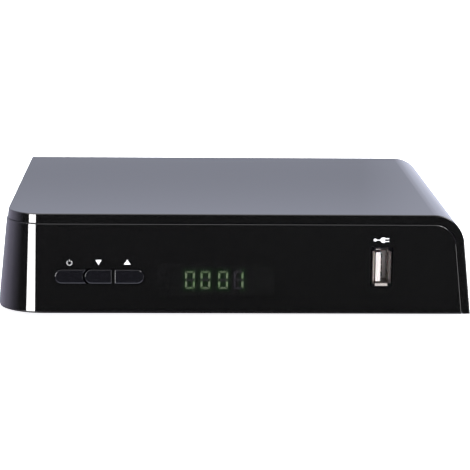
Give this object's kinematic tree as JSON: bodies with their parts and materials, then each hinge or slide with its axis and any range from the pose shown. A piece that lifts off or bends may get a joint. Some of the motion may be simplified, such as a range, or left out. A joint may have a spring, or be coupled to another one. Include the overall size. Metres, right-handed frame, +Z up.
{
  "type": "satellite tv receiver",
  "caption": "Low set-top box with a rounded shoulder, nested push keys, a green segment display and a serial-bus socket in front; aerial, video, audio and power sockets behind.",
  "frame": {"origin": "on the floor under the middle of the whole box, at the feet's underside", "axes": "+X to the right seen from the front, +Y from the front to the back, +Z up"},
  "size_m": [0.1768, 0.141, 0.0393],
  "materials": {
    "gloss_shell": "moulded ABS, high gloss black",
    "smoked_window": "smoked acrylic, flush in the fascia",
    "satin_case": "moulded ABS, fine spark texture",
    "rear_plate": "powder-coated sheet steel",
    "foot_rubber": "soft black rubber",
    "screw_steel": "black-zinc and bright zinc screws",
    "key_plastic": "moulded ABS, gloss black",
    "inner_plastic": "moulded black plastic",
    "display_face": "black printed face of the display",
    "lit_segment": "cast resin, lit pale green",
    "dark_segment": "cast resin, unlit",
    "led_epoxy": "tinted epoxy, unlit",
    "solder_mask": "fibreglass board with green solder mask",
    "tinplate": "bright tinplate, folded",
    "nickel": "nickel-plated brass",
    "white_plastic": "natural white moulded insulator",
    "contact_gold": "gold-flashed contacts",
    "chip_epoxy": "black epoxy package",
    "sink_aluminium": "black anodised, extruded fins",
    "capacitor_sleeve": "printed shrink sleeve",
    "ferrite": "grey ferrite",
    "audio_body": "orange moulded insulator"
  },
  "bodies": {
    "receiver": {"top_cover": "gloss_shell", "front_fascia": "gloss_shell", "display_window": "smoked_window", "bottom_case": "satin_case", "rear_panel": "rear_plate", "rubber_feet": "foot_rubber", "case_screws": "screw_steel", "panel_screws": "screw_steel", "key_guide": "inner_plastic", "switch_bodies": "inner_plastic", "switch_covers": "tinplate", "display_housing": "display_face", "display_segments_lit": "lit_segment", "display_segments_unlit": "dark_segment", "display_holder": "inner_plastic", "ir_receiver": "chip_epoxy", "standby_led": "led_epoxy", "front_board": "solder_mask", "front_board_screws": "screw_steel", "link_header": "inner_plastic", "link_pins": "contact_gold", "usb_shell": "tinplate", "usb_tongue": "white_plastic", "usb_contacts": "contact_gold", "tuner_can": "tinplate", "lnb_in_socket": "nickel", "lnb_out_socket": "nickel", "lnb_insulators": "white_plastic", "lnb_nuts": "nickel", "video_shell": "tinplate", "video_tongue": "inner_plastic", "scart_socket": "inner_plastic", "audio_jack": "audio_body", "audio_sleeve": "nickel", "remote_eye_jack": "inner_plastic", "power_jack": "inner_plastic", "power_pin": "nickel", "card_reader": "inner_plastic", "card_contacts": "contact_gold", "main_board": "solder_mask", "board_screws": "screw_steel", "processor": "chip_epoxy", "heatsink": "sink_aluminium", "memory_chips": "chip_epoxy", "flash_chip": "chip_epoxy", "regulators": "chip_epoxy", "capacitors": "capacitor_sleeve", "inductors": "ferrite", "crystal": "tinplate"},
    "power_button": {"key_power": "key_plastic", "plunger_power": "inner_plastic"},
    "down_button": {"key_down": "key_plastic", "plunger_down": "inner_plastic"},
    "up_button": {"key_up": "key_plastic", "plunger_up": "inner_plastic"}
  },
  "joints": [
    {"name": "power_press", "type": "slide", "parent": "receiver", "child": "power_button", "axis": [0, 1, 0], "range_m": [0, 0.0006], "stiffness_N_per_m": 2500},
    {"name": "down_press", "type": "slide", "parent": "receiver", "child": "down_button", "axis": [0, 1, 0], "range_m": [0, 0.0006], "stiffness_N_per_m": 2500},
    {"name": "up_press", "type": "slide", "parent": "receiver", "child": "up_button", "axis": [0, 1, 0], "range_m": [0, 0.0006], "stiffness_N_per_m": 2500}
  ]
}
